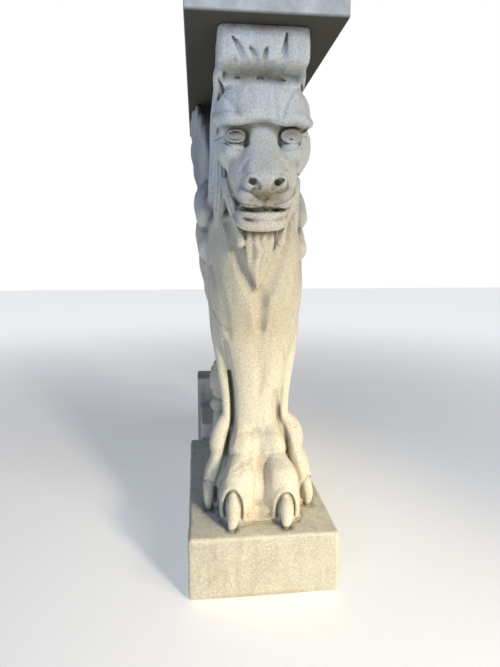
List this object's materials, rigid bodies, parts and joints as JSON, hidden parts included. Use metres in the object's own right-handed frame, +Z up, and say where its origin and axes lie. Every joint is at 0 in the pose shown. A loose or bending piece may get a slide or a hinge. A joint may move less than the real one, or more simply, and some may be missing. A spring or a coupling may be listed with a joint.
{
  "type": "lion on column statue",
  "caption": "Cast-stone table support: a lion's head and breast over a single clawed leg, with wings, plinth, rear pier and a top slab.",
  "frame": {"origin": "on the ground, under the middle of the base and the slab", "axes": "the lion faces -Y, +X to the right of someone in front of it, +Z up"},
  "size_m": [0.19, 0.555, 0.731],
  "materials": {
    "cast_stone": "matt buff cast stone, weathered",
    "slab_stone": "matt grey cast stone"
  },
  "bodies": {
    "root": {"lion_and_plinth": "cast_stone", "top_slab": "slab_stone"}
  },
  "joints": []
}
